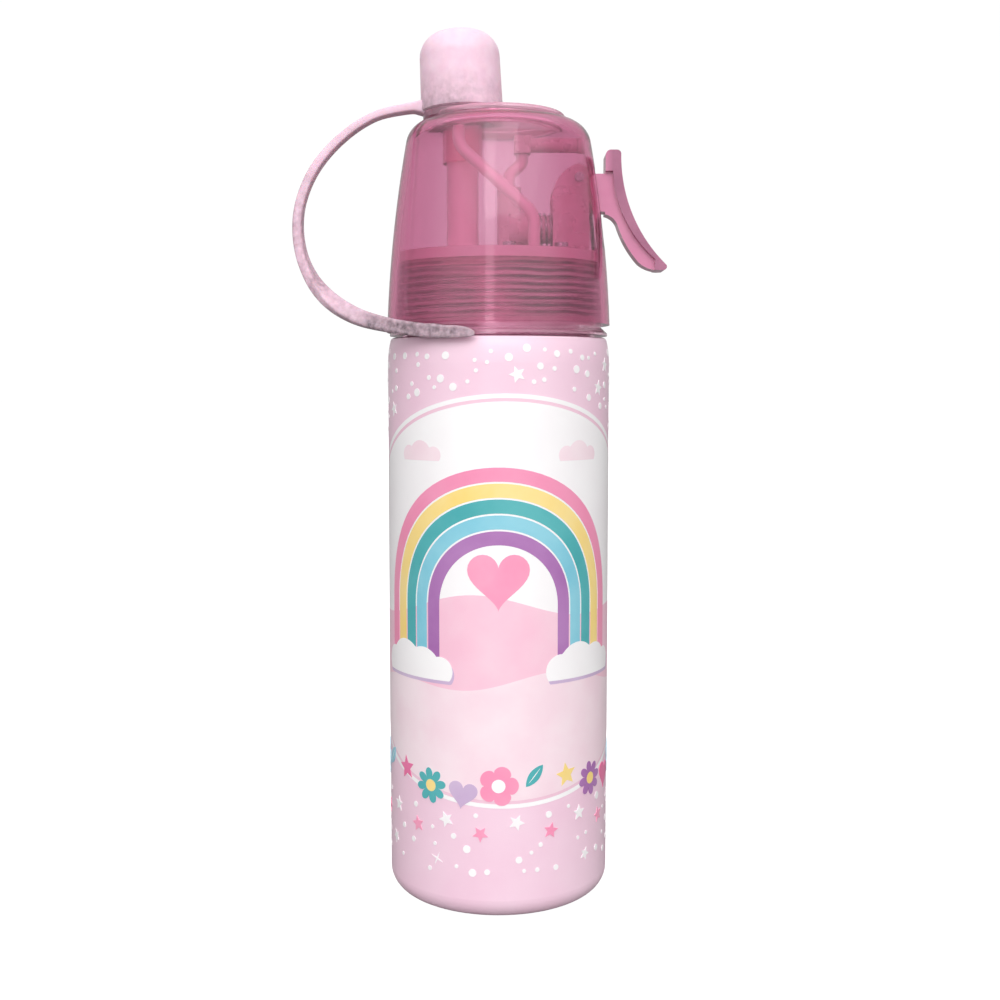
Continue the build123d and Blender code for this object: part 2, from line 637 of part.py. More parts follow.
NODES = {
    "bottle_body": bottle_body,
    "lid_gasket": lid_gasket,
    "lid_shell": lid_shell,
    "lid_base": lid_base,
    "mouthpiece": mouthpiece,
    "drink_tube": drink_tube,
    "tube_grommet": tube_grommet,
    "vent_valve": vent_valve,
    "vent_hose": vent_hose,
    "spout_cap": spout_cap,
    "cap_strap": cap_strap,
    "strap_collar": strap_collar,
    "pump_body": pump_body,
    "inlet_ball": lambda: valve_ball(INLET_SEAT_Z),
    "outlet_ball": lambda: valve_ball(OUTLET_SEAT_Z),
    "pump_piston": pump_piston,
    "piston_seal": piston_seal,
    "return_spring": return_spring,
    "outlet_fitting": outlet_fitting,
    "riser_hose": riser_hose,
    "nozzle_elbow": nozzle_elbow,
    "nozzle_tip": nozzle_tip,
    "dip_tube": dip_tube,
    "pump_frame": pump_frame,
    "trigger_pin": trigger_pin,
    "pump_screws": pump_screws,
    "trigger_lever": trigger_lever,
}

os.makedirs("parts", exist_ok=True)
for name, build in NODES.items():
    made = build()
    solids = made if isinstance(made, list) else made.solids()
    shape = Compound(children=[s.solid() for s in solids]) if len(solids) > 1 else solids[0]
    export_step(shape, f"parts/{name}.step")
    print(name, len(solids), "solids", round(sum(s.volume for s in solids)), "mm3")
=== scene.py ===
"""The looks of a kids' mist-spray bottle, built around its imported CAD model.

Everything is in metres in the model's own frame: +Z up, +X the trigger side, -Y the front. Sizes that
are written in millimetres go through MM. The picture printed on the can is drawn here from plain
curves and wrapped round it: a rainbow over hills in a white panel, with a border of motifs below.
"""

import random
from math import ceil, cos, floor, hypot, pi, radians, sin

import bmesh
import bpy
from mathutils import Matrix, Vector
from mathutils.geometry import tessellate_polygon


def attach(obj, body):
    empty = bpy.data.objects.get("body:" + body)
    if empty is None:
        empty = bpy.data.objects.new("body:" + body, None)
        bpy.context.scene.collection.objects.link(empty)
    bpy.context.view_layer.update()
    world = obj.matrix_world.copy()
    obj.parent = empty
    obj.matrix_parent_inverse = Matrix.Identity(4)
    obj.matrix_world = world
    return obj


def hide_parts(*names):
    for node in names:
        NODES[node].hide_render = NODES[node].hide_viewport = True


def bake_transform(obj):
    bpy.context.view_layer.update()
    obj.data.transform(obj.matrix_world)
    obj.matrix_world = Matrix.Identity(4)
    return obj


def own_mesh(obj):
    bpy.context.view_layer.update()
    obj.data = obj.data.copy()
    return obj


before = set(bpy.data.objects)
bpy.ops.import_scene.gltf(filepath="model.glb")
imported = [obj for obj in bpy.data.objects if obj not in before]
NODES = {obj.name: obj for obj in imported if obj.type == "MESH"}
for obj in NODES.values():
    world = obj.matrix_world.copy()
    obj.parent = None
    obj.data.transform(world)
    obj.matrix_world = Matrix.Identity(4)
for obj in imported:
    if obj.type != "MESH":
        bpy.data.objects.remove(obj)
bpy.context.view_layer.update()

MM = 0.001
CAN_R = 32.0
AROUND = 2 * pi * CAN_R
scene = bpy.context.scene


# ---- materials -----------------------------------------------------------------------------
def linear(code):
    """The linear colour of an sRGB hex code."""
    parts = [int(code[i : i + 2], 16) / 255 for i in (0, 2, 4)]
    return [c / 12.92 if c <= 0.04045 else ((c + 0.055) / 1.055) ** 2.4 for c in parts]


class Material:
    """A Principled material whose even values are set on its own sockets."""

    def __init__(self, name, colour, **values):
        self.material = bpy.data.materials.new(name)
        self.material.use_nodes = True
        self.tree = self.material.node_tree
        self.shader = self.tree.nodes["Principled BSDF"]
        self.output = self.tree.nodes["Material Output"]
        self.shader.inputs["Base Color"].default_value = (*linear(colour), 1)
        for socket, value in values.items():
            self.shader.inputs[socket.replace("_", " ")].default_value = value
        self.coordinates = None

    def node(self, kind, **settings):
        made = self.tree.nodes.new(kind)
        for key, value in settings.items():
            setattr(made, key, value)
        return made

    def link(self, source, target):
        self.tree.links.new(source, target)

    def position(self):
        if not self.coordinates:
            self.coordinates = self.node("ShaderNodeTexCoord").outputs["Object"]
        return self.coordinates

    def axis(self, name):
        """The X, Y or Z position on the piece, in metres."""
        parts = self.node("ShaderNodeSeparateXYZ")
        self.link(self.position(), parts.inputs["Vector"])
        return parts.outputs[name]

    def math(self, operation, first, second=0.0):
        """A Math node's result. Each value is a socket or a number."""
        made = self.node("ShaderNodeMath", operation=operation)
        for socket, value in zip(made.inputs, (first, second)):
            if isinstance(value, (int, float)):
                socket.default_value = value
            else:
                self.link(value, socket)
        return made.outputs["Value"]

    def mix(self, share, below, above):
        """The colour below, covered by the colour above as far as share says."""
        made = self.node("ShaderNodeMix", data_type="RGBA")
        self.link(share, made.inputs["Factor"])
        self.link(below, made.inputs["A"])
        self.link(above, made.inputs["B"])
        return made.outputs["Result"]

    def noise(self, scale, detail=3.0, stretch=None):
        """A noise value over the piece. scale is in patches per metre."""
        made = self.node("ShaderNodeTexNoise")
        made.inputs["Scale"].default_value = scale
        made.inputs["Detail"].default_value = detail
        source = self.position()
        if stretch:
            mapping = self.node("ShaderNodeMapping")
            mapping.inputs["Scale"].default_value = stretch
            self.link(source, mapping.inputs["Vector"])
            source = mapping.outputs["Vector"]
        self.link(source, made.inputs["Vector"])
        return made.outputs["Fac"]

    def ramp(self, value, stops):
        """stops is a list of (position, colour code)."""
        made = self.node("ShaderNodeValToRGB")
        elements = made.color_ramp.elements
        while len(elements) < len(stops):
            elements.new(0.5)
        for element, (at, code) in zip(elements, stops):
            element.position = at
            element.color = (*linear(code), 1)
        self.link(value, made.inputs["Fac"])
        return made.outputs["Color"]

    def spread(self, value, low, high, source=(0.3, 0.7)):
        """value carried from the range source to the range low to high."""
        made = self.node("ShaderNodeMapRange")
        made.inputs["From Min"].default_value, made.inputs["From Max"].default_value = source
        made.inputs["To Min"].default_value, made.inputs["To Max"].default_value = low, high
        self.link(value, made.inputs["Value"])
        return made.outputs["Result"]

    def mottle(self, scale, stops, **noise):
        self.link(self.ramp(self.noise(scale, **noise), stops), self.shader.inputs["Base Color"])
        return self

    def uneven_gloss(self, scale, low, high):
        self.link(self.spread(self.noise(scale), low, high), self.shader.inputs["Roughness"])
        return self

    def bumpy(self, *grains):
        """grains is a list of (scale, height in mm) or (scale, height, stretch)."""
        normal = None
        for scale, height, *stretch in grains:
            bump = self.node("ShaderNodeBump")
            bump.inputs["Distance"].default_value = height * MM
            value = self.noise(scale, stretch=stretch[0] if stretch else None)
            self.link(value, bump.inputs["Height"])
            if normal:
                self.link(normal, bump.inputs["Normal"])
            normal = bump.outputs["Normal"]
        self.link(normal, self.shader.inputs["Normal"])
        return self

    def lets_light_through(self, colour):
        """Lamps shine through this clear piece, tinted, on what is behind it."""
        clear = self.node("ShaderNodeBsdfTransparent")
        clear.inputs["Color"].default_value = (*linear(colour), 1)
        path = self.node("ShaderNodeLightPath")
        mix = self.node("ShaderNodeMixShader")
        self.link(path.outputs["Is Shadow Ray"], mix.inputs["Fac"])
        self.link(self.shader.outputs["BSDF"], mix.inputs[1])
        self.link(clear.outputs["BSDF"], mix.inputs[2])
        self.link(mix.outputs["Shader"], self.output.inputs["Surface"])
        return self

    def absorbs(self, colour, density):
        """The thicker the plastic that is looked through, the deeper its colour."""
        volume = self.node("ShaderNodeVolumeAbsorption")
        volume.inputs["Color"].default_value = (*linear(colour), 1)
        volume.inputs["Density"].default_value = density
        self.link(volume.outputs["Volume"], self.output.inputs["Volume"])
        return self


def paint(piece, made):
    """Gives a piece its material."""
    piece.data.materials.clear()
    piece.data.materials.append(made.material)


# ---- mesh helpers --------------------------------------------------------------------------
def new_object(name, data):
    piece = bpy.data.objects.new(name, data)
    scene.collection.objects.link(piece)
    return piece


def mesh_from(name, points, faces, sharp=35):
    """A smooth-shaded mesh from points in millimetres."""
    mesh = bpy.data.meshes.new(name)
    mesh.from_pydata([[c * MM for c in p] for p in points], [], faces)
    finish_mesh(mesh, sharp)
    return mesh


def finish_mesh(mesh, sharp=35):
    made = bmesh.new()
    made.from_mesh(mesh)
    bmesh.ops.recalc_face_normals(made, faces=made.faces)
    made.to_mesh(mesh)
    made.free()
    mesh.shade_smooth()
    mesh.set_sharp_from_angle(angle=radians(sharp))
    mesh.update()


def spline(points, steps):
    """An open Catmull-Rom curve through points of any dimension."""
    line = []
    for i in range(len(points) - 1):
        b, c = points[i], points[i + 1]
        a = points[i - 1] if i else [2 * p - q for p, q in zip(b, c)]
        d = points[i + 2] if i + 2 < len(points) else [2 * q - p for p, q in zip(b, c)]
        for k in range(steps):
            t = k / steps
            line.append([
                0.5 * (2 * q + (r - p) * t + (2 * p - 5 * q + 4 * r - s) * t * t
                       + (3 * q - p - 3 * r + s) * t**3)
                for p, q, r, s in zip(a, b, c, d)
            ])  # fmt: skip
    return [*line, points[-1]]


# ---- the print: flat shapes wrapped on the can ----------------------------------------------
STRIP = 1.2  # every wrapped shape is cut at whole multiples of this, so that no two layers cross


SHOULDER_Z, SHOULDER_RISE, SHOULDER_DROP = 154.0, 6.4, 0.7
SCATTER_LIFT, MOTIF_LIFT = 0.1, 0.15
FILM_UNDER = -0.06  # the films' undersides lie this deep in the can's wall
VEIN_LIFT = 0.012  # details stand this far above the motif that they are on


def can_radius(z):
    """The can's radius, which falls away at the shoulder."""
    up_shoulder = max(0.0, z - SHOULDER_Z) / SHOULDER_RISE
    return CAN_R - SHOULDER_DROP * up_shoulder**2


def wrapped(s, z, lift):
    """A point at arc length s to the right of the front line, on the can's surface plus lift."""
    r, angle = can_radius(z) + lift, s / CAN_R
    return (r * sin(angle) * MM, -r * cos(angle) * MM, z * MM)


class Ink:
    """All the printed shapes of one colour, as closed thin films on the can."""

    all = []

    def __init__(self, name, made):
        self.name, self.made, self.mesh = name, made, bmesh.new()
        Ink.all.append(self)

    def add(self, outline, lift):
        """Adds a shape given by its outline in arc length and height, lift above the can."""
        flat = bmesh.new()
        points = [Vector((s, z, 0)) for s, z in outline]
        corners = [flat.verts.new(p) for p in points]
        for triangle in tessellate_polygon([points]):
            if len(set(triangle)) == 3:
                flat.faces.new([corners[i] for i in triangle])
        low, high = min(p.x for p in points), max(p.x for p in points)
        for i in range(floor(low / STRIP) + 1, ceil(high / STRIP)):
            bmesh.ops.bisect_plane(
                flat,
                geom=flat.verts[:] + flat.edges[:] + flat.faces[:],
                plane_co=(STRIP * i, 0, 0),
                plane_no=(1, 0, 0),
                dist=1e-5,
            )
        bmesh.ops.triangulate(flat, faces=flat.faces[:])
        top = {v: self.mesh.verts.new(wrapped(v.co.x, v.co.y, lift)) for v in flat.verts}
        under = {v: self.mesh.verts.new(wrapped(v.co.x, v.co.y, FILM_UNDER)) for v in flat.verts}
        for face in flat.faces:
            self.mesh.faces.new([top[v] for v in face.verts])
            self.mesh.faces.new([under[v] for v in reversed(face.verts)])
        for edge in flat.edges:
            if len(edge.link_faces) == 1:
                a, b = edge.verts
                self.mesh.faces.new([top[a], top[b], under[b], under[a]])
        flat.free()

    def finish(self):
        mesh = bpy.data.meshes.new(self.name)
        self.mesh.to_mesh(mesh)
        self.mesh.free()
        finish_mesh(mesh)
        piece = new_object(self.name, mesh)
        paint(piece, self.made)
        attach(piece, "bottle")


def placed(outline, s, z, turn=0.0):
    """An outline turned by turn degrees and moved to (s, z)."""
    c, d = cos(radians(turn)), sin(radians(turn))
    return [(s + c * x - d * y, z + d * x + c * y) for x, y in outline]


def polar_shape(radius_at, steps):
    angles = [2 * pi * i / steps for i in range(steps)]
    return [(radius_at(a) * cos(a), radius_at(a) * sin(a)) for a in angles]


def disc(r):
    return polar_shape(lambda a: r, 20)


def star(r, rays=5, waist=0.46):
    corners = []
    for i in range(2 * rays):
        reach, angle = (r if i % 2 == 0 else r * waist), pi / 2 + pi * i / rays
        corners.append((reach * cos(angle), reach * sin(angle)))
    return corners


def blossom(r, petals, dip):
    """A flower's outline, with rounded petals that meet at dip times its radius."""

    def radius_at(angle):
        return r * (dip + (1 - dip) * abs(cos(petals * angle / 2)) ** 0.6)

    return polar_shape(radius_at, 24 * petals)


def heart(r):
    half = []
    for i in range(25):
        t = pi * i / 24
        x = 16 * sin(t) ** 3
        y = 13 * cos(t) - 5 * cos(2 * t) - 2 * cos(3 * t) - cos(4 * t)
        half.append((x * r / 16, y * r / 16))
    return half + [(-x, y) for x, y in reversed(half[1:-1])]


def leaf(length, width):
    side = [(length * (i / 12 - 0.5), width / 2 * sin(pi * i / 12) ** 0.8) for i in range(13)]
    return side + [(x, -y) for x, y in reversed(side[1:-1])]


def ink_material(name, colour, pale):
    """Printing ink: flat colour with a faint uneven wash, under the can's clear coat."""
    made = Material(name, colour, Coat_Weight=0.4, Coat_Roughness=0.25)
    made.mottle(60, [(0.35, colour), (0.65, pale)], detail=4.0)
    return made.uneven_gloss(180, 0.3, 0.4).bumpy((2600, 0.012))


COLOURS = {
    "white": ("FFFFFF", "FCFAFB"),
    "rim": ("F3CADC", "F5D0E0"),
    "pale": ("FADFE9", "FDEBF1"),
    "yellow": ("FDDD7E", "FEE59A"),
    "pink": ("F58DB4", "F79CBE"),
    "purple": ("A76BAF", "B57FBC"),
    "blue": ("7FCBDF", "93D5E5"),
    "teal": ("45ADB1", "5AB9BC"),
    "rose": ("FB97BB", "FCA8C6"),
    "hot": ("EC5F9B", "F07CAC"),
    "blush": ("FAC6DA", "FBD2E1"),
    "lilac": ("CDB3D6", "D7C2DE"),
}
INK = {
    name: Ink(f"print_{name}", ink_material(f"ink_{name}", *codes))
    for name, codes in COLOURS.items()
}

RING = (2.0, 89.0)  # centre of the white panel
RING_TOP, RING_HALF, RING_SAG = 56.8, 69.0, 5.0
RIM_INSET, PICTURE_INSET = 1.2, 2.1


def on_ring(angle, inset):
    """A point of the panel's edge, which is a little wider below its middle than above it."""
    a = radians(angle)
    half = RING_HALF - RING_SAG * sin(a) - inset * 1.2
    return (RING[0] + half * cos(a), RING[1] + (RING_TOP - inset) * sin(a))


def ring_oval(inset):
    return [on_ring(a, inset) for a in range(0, 360, 3)]


INK["white"].add(ring_oval(0.0), 0.03)
INK["rim"].add(ring_oval(RIM_INSET), 0.045)
INK["white"].add(ring_oval(PICTURE_INSET), 0.06)


# The picture is a plain one: a rainbow that stands in clouds on two rounded hills.
def hill(angle, swell, shift):
    """Ground inside the panel. Its skyline starts and ends on the edge, at angle below the middle."""
    right, left = on_ring(-angle, PICTURE_INSET), on_ring(180 + angle, PICTURE_INSET)
    skyline = []
    for i in range(1, 60):
        t = i / 60
        rise = swell * sin(pi * t) * (1 + 0.45 * sin(4 * pi * t + shift))
        skyline.append((right[0] + (left[0] - right[0]) * t, right[1] + rise))
    return skyline + [on_ring(a, PICTURE_INSET) for a in range(180 + angle, 361 - angle, 2)]


def arch(outer, inner, middle, foot):
    """A band of the rainbow: a half ring with straight legs down to height foot."""
    arc = [radians(a) for a in range(0, 181, 4)]
    over = [(outer * cos(a), middle + outer * sin(a)) for a in arc]
    beneath = [(inner * cos(a), middle + inner * sin(a)) for a in reversed(arc)]
    return [(outer, foot), *over, (-outer, foot), (-inner, foot), *beneath, (inner, foot)]


def cloud(puffs, base):
    """The outline round a row of discs, (middle, radius) each, cut flat at base below their middles."""
    low, high = min(c - r for c, r in puffs), max(c + r for c, r in puffs)
    top = []
    for i in range(1, 72):
        x = (low + high) / 2 - (high - low) / 2 * cos(pi * i / 72)
        top.append((x, max(r * r - (x - c) ** 2 for c, r in puffs) ** 0.5))
    return [(low, 0.0), *((x, -min(base, y)) for x, y in top), (high, 0.0), *reversed(top)]


INK["blush"].add(hill(8, 7.0, 0.6), 0.075)
INK["pale"].add(hill(30, 6.0, 3.4), 0.09)
ARCH_MIDDLE, ARCH_FOOT, ARCH_R, BAND_STEP, BAND_WIDTH = 88.0, 69.0, 38.0, 4.3, 3.8
for i, name in enumerate(("pink", "yellow", "teal", "blue", "purple")):
    outer = ARCH_R - BAND_STEP * i
    INK[name].add(arch(outer, outer - BAND_WIDTH, ARCH_MIDDLE, ARCH_FOOT), 0.105)
LARGE_CLOUD = cloud([(-9.5, 4.6), (-3.0, 7.4), (4.6, 6.2), (10.6, 4.0)], 2.6)
SMALL_CLOUD = cloud([(-4.2, 2.6), (0.4, 4.0), (5.2, 2.4)], 1.5)
for s in (-27.5, 27.5):
    INK["lilac"].add(placed(LARGE_CLOUD, s + 0.5, ARCH_FOOT - 0.3), 0.12)
    INK["white"].add(placed(LARGE_CLOUD, s, ARCH_FOOT + 0.6), 0.135)
for s in (-24.0, 24.0):
    INK["pale"].add(placed(SMALL_CLOUD, s, 129.0), 0.075)
INK["rose"].add(placed(heart(8.6), 0.0, 96.0), 0.105)


def draw(kind, ink, s, z, size, turn, lift):
    """One printed motif with its middle at (s, z)."""
    colour = INK[ink]
    if kind == "dot":
        colour.add(placed(disc(size), s, z), lift)
        return
    outline = {
        "star": lambda: star(size),
        "spark": lambda: star(size, 4, 0.16),
        "heart": lambda: heart(size),
        "leaf": lambda: leaf(size, size * 0.42),
        "daisy": lambda: blossom(size, 8, 0.5),
        "bloom": lambda: blossom(size, 5, 0.7),
    }[kind]()
    colour.add(placed(outline, s, z, turn), lift)
    if kind == "leaf":
        INK["white"].add(placed(leaf(size * 0.72, 0.22), s, z, turn), lift + VEIN_LIFT)
    elif kind in ("daisy", "bloom"):
        eye = INK["yellow" if kind == "daisy" else "white"]
        eye.add(placed(disc(size * 0.34), s, z), lift + VEIN_LIFT)


# The border under the picture repeats five motifs all the way round, in a gentle wave.
BORDER = [
    ("bloom", ("rose", "blue"), 5.6, 0), ("leaf", ("teal", "blue"), 7.6, 50),
    ("star", ("yellow", "hot"), 3.5, 8), ("daisy", ("purple", "teal"), 5.0, 10),
    ("heart", ("hot", "lilac"), 4.2, -8),
]  # fmt: skip
REPEATS, BORDER_Z, BORDER_WAVE = 4, 38.5, 2.6
SMALL_Z, SMALL_ZIGZAG, SMALL_STAR = 26.5, 1.6, 2.3
count = REPEATS * len(BORDER)
spacing = AROUND / count
taken = []
for i in range(count):
    kind, inks, size, turn = BORDER[i % len(BORDER)]
    s, z = spacing * (i - count // 2), BORDER_Z + BORDER_WAVE * sin(2 * pi * i / len(BORDER))
    draw(kind, inks[i // len(BORDER) % 2], s, z, size, turn, MOTIF_LIFT)
    taken.append((s, z, size))
    s, z = s + spacing / 2, SMALL_Z + SMALL_ZIGZAG * (-1) ** i
    draw("star", ("white", "rose")[i % 2], s, z, SMALL_STAR, 12 * i, MOTIF_LIFT)
    taken.append((s, z, SMALL_STAR))

# Stars and dots above the panel and below the border, all the way round, and a few up the back.
rng = random.Random(7)
DOT_SIZES = (0.55, 0.65, 0.8, 0.95, 1.1)


def free(s, z, r):
    return all(hypot((s - a + AROUND / 2) % AROUND - AROUND / 2, z - b) > r + c for a, b, c in taken)


def outside_ring(s, z):
    return hypot((s - RING[0]) / (RING_HALF + 2), (z - RING[1]) / (RING_TOP + 2.5)) > 1


def scatter(kind, s, z, size):
    draw(kind, "white", s, z, size, rng.uniform(0, 70), SCATTER_LIFT)
    taken.append((s, z, size))


for low, high, count in ((120.0, 158.0, 24), (13.0, 23.0, 6)):
    for _ in range(count * 12):
        s, z, size = rng.uniform(-100, 100), rng.uniform(low + 2, high - 3), rng.uniform(1.8, 2.6)
        if count and outside_ring(s, z) and free(s, z, size + 3.4):
            scatter("spark" if count % 4 == 0 else "star", s, z, size)
            count -= 1
for low, high, count in ((120.0, 158.0, 150), (13.0, 31.0, 80)):
    for _ in range(count * 6):
        s, z, r = rng.uniform(-100, 100), rng.uniform(low, high), rng.choice(DOT_SIZES)
        if count and outside_ring(s, z) and free(s, z, r + 1.4):
            scatter("dot", s, z, r)
            count -= 1
for i in range(26):
    s, z = 82.0 + 33.0 * rng.random(), 50.0 + 68.0 * (i + rng.random()) / 26
    kind, size = ("star", 2.2) if i % 3 == 0 else ("dot", 0.8)
    if outside_ring(s if s < AROUND / 2 else s - AROUND, z) and free(s, z, size + 1.2):
        scatter(kind, s, z, size)
for ink in Ink.all:
    ink.finish()

# ---- the can -------------------------------------------------------------------------------
can = Material("can_lacquer", "F6D2E4", Coat_Weight=0.4, Coat_Roughness=0.25)
height = can.axis("Z")
OUTSIDE_R, FOOT_Z, NECK_Z, LACQUER_TOP = 31.25 * MM, 3.4 * MM, 156.0 * MM, 161.15 * MM
flat = can.node("ShaderNodeCombineXYZ")
can.link(can.axis("X"), flat.inputs["X"])
can.link(can.axis("Y"), flat.inputs["Y"])
reach = can.node("ShaderNodeVectorMath", operation="LENGTH")
can.link(flat.outputs["Vector"], reach.inputs[0])
# Lacquer covers the outer wall, the foot and the shoulder. The inside and the neck are bare metal.
outside = can.math("GREATER_THAN", reach.outputs["Value"], OUTSIDE_R)
coated = can.math("MAXIMUM", outside, can.math("LESS_THAN", height, FOOT_Z))
coated = can.math("MAXIMUM", coated, can.math("GREATER_THAN", height, NECK_Z))
inside = can.math("SUBTRACT", 1.0, coated)
bare = can.math("MAXIMUM", inside, can.math("GREATER_THAN", height, LACQUER_TOP))
lacquer = can.ramp(can.noise(55, detail=4.0), [(0.3, "F5CFE2"), (0.7, "F8D8E8")])
metal = can.ramp(can.noise(300, stretch=(1, 1, 9)), [(0.3, "D2CDD0"), (0.7, "E6E3E5")])
can.link(can.mix(bare, lacquer, metal), can.shader.inputs["Base Color"])
can.link(bare, can.shader.inputs["Metallic"])
can.uneven_gloss(150, 0.28, 0.38).bumpy((2400, 0.014), (90, 0.03))
paint(NODES["bottle_body"], can)

# ---- clear and moulded plastics --------------------------------------------------------------
tinted = Material("lid_clear_pink", "F9F4F8", Transmission_Weight=0.96, IOR=1.47)
tinted.uneven_gloss(70, 0.03, 0.07).bumpy((45, 0.05), (900, 0.004))
tinted.lets_light_through("F9DEEA")
tinted.absorbs("E77CBA", 390)
clear = Material("tube_cloudy", "FFF0F6", Transmission_Weight=0.4, IOR=1.4)
clear.uneven_gloss(120, 0.14, 0.24).bumpy((260, 0.02))
clear.lets_light_through("FBE6F0")
pump = Material("pump_moulded", "FBE2EC", Transmission_Weight=0.3, IOR=1.46)
pump.mottle(140, [(0.3, "F9D8E5"), (0.7, "FDEAF2")]).uneven_gloss(200, 0.22, 0.34).bumpy((1300, 0.01))
rubber = Material("seal_soft", "F6E0EA", Roughness=0.6)
rubber.mottle(160, [(0.3, "F2DAE5"), (0.7, "FAE8F0")]).bumpy((1800, 0.02))
steel = Material("steel_bright", "C4C2C4", Metallic=1.0)
steel.uneven_gloss(700, 0.18, 0.32).bumpy((1500, 0.006))
threaded = Material("lid_base_pink", "F6D0E1", Transmission_Weight=0.9, IOR=1.47)
# Painted shade and painted highlight: dark and pale bands across the thread zone stand in for the
# threads' shadows and glints seen through the clear base.
wave = threaded.node("ShaderNodeTexWave", wave_type="BANDS", bands_direction="Z")
for socket, value in {"Scale": 165, "Distortion": 2.4, "Detail": 3, "Detail Scale": 0.5}.items():
    wave.inputs[socket].default_value = value
threaded.link(threaded.position(), wave.inputs["Vector"])
thread_shade_bands = threaded.ramp(wave.outputs["Fac"], [(0.15, "927082"), (0.5, "DFB6C9"), (0.9, "FFF2F8")])
THREAD_BOTTOM, THREAD_TOP = (166.0 * MM, 168.0 * MM), (181.2 * MM, 181.9 * MM)
level = threaded.axis("Z")
in_thread = threaded.math(
    "MULTIPLY",
    threaded.spread(level, 0.0, 1.0, THREAD_BOTTOM),
    threaded.spread(level, 1.0, 0.0, THREAD_TOP),
)
patches = threaded.spread(threaded.noise(75, stretch=(1, 1, 0.5)), 0.25, 1.0, (0.38, 0.6))
patchy = threaded.math("MULTIPLY", in_thread, patches)
even = threaded.ramp(threaded.noise(70), [(0.3, "F4C8DC"), (0.7, "F9D9E7")])
threaded.link(threaded.mix(patchy, even, thread_shade_bands), threaded.shader.inputs["Base Color"])
threaded.uneven_gloss(90, 0.06, 0.14).bumpy((120, 0.04))
threaded.lets_light_through("F8DAE7")
frosted = Material("top_pink", "F7CBDE", Transmission_Weight=0.7, IOR=1.47)
frosted.mottle(90, [(0.3, "F5C3D8"), (0.7, "F9D3E3")]).uneven_gloss(70, 0.05, 0.12).bumpy((60, 0.05))
frosted.lets_light_through("F9DEEA")
paint(NODES["lid_shell"], tinted)
paint(NODES["mouthpiece"], frosted)
paint(NODES["lid_base"], threaded)
for node in ("drink_tube", "riser_hose", "dip_tube", "vent_hose"):
    paint(NODES[node], clear)
for node in ("pump_body", "pump_piston", "outlet_fitting", "nozzle_elbow", "nozzle_tip"):
    paint(NODES[node], pump)
paint(NODES["pump_frame"], pump)
for node in ("lid_gasket", "tube_grommet", "vent_valve", "piston_seal"):
    paint(NODES[node], rubber)
for node in ("inlet_ball", "outlet_ball", "trigger_pin", "pump_screws"):
    paint(NODES[node], steel)

# The lever's finger plate is a deeper pink than the rib that stands behind it.
lever = Material("lever_pink", "D97FA6", Transmission_Weight=0.12, IOR=1.47, Coat_Weight=0.3)
PLATE_SIDE, PLATE_BACK = (3.3 * MM, 4.2 * MM), (30.0 * MM, 32.5 * MM)
off_middle = lever.math("ABSOLUTE", lever.axis("Y"))
in_plate = lever.math(
    "MULTIPLY",
    lever.spread(off_middle, 0.0, 1.0, PLATE_SIDE),
    lever.spread(lever.axis("X"), 0.0, 1.0, PLATE_BACK),
)
rib_pink = lever.ramp(lever.noise(80), [(0.3, "DC84AC"), (0.7, "E796B9")])
plate_pink = lever.ramp(lever.noise(120), [(0.3, "A96485"), (0.7, "BC7696")])
lever.link(lever.mix(in_plate, rib_pink, plate_pink), lever.shader.inputs["Base Color"])
lever.uneven_gloss(120, 0.12, 0.22).bumpy((60, 0.04))
paint(NODES["trigger_lever"], lever)

# ---- silicone cap, strap and collar ----------------------------------------------------------
def silicone(name, low, high, shadow_below):
    """Matt silicone, greyer below the height low up to high (part wear, part painted shade), and darkened
    by painted shade below the height given by the last argument.
    """
    made = Material(name, "F6D1E3", Subsurface_Weight=0.12, Sheen_Weight=0.1)
    made.shader.inputs["Subsurface Scale"].default_value = 2 * MM
    colour = made.ramp(made.noise(300, detail=4.0), [(0.3, "F3CCDF"), (0.7, "F9D9E8")])
    # A grey layer, part wear and part painted shade, that deepens towards the foot of the piece.
    wear_and_painted_shade = made.ramp(made.noise(620, detail=8.0), [(0.25, "A98A98"), (0.5, "C9AAB9"), (0.75, "E6C5D5")])
    # A dark layer of painted shade: the shadow at the cap's foot and where the strap's band lies against
    # the lid and can.
    painted_shade_ramp = made.ramp(made.noise(800, detail=8.0), [(0.3, "6E5F66"), (0.5, "A08B95"), (0.72, "C6AFBA")])
    level = made.axis("Z")
    for layer, bottom, top, patchy in ((wear_and_painted_shade, low, high, 0.35), (painted_shade_ramp, shadow_below, shadow_below + 6.0, 0.7)):
        patches = made.spread(made.noise(110, detail=5.0), patchy, 1.0, (0.35, 0.6))
        below = made.spread(level, 1.0, 0.0, (bottom * MM, top * MM))
        colour = made.mix(made.math("MULTIPLY", below, patches), colour, layer)
    made.link(colour, made.shader.inputs["Base Color"])
    return made.uneven_gloss(260, 0.45, 0.6).bumpy((2200, 0.02), (300, 0.03))


# Heights of the grey layer and of the painted shade: at the cap's foot, and on the strap down to its band
# round the lid's foot.
cap_silicone = silicone("silicone_cap", 225.0, 237.0, 222.0)
strap_silicone = silicone("silicone_strap", 192.0, 238.0, 164.6)
paint(NODES["spout_cap"], cap_silicone)


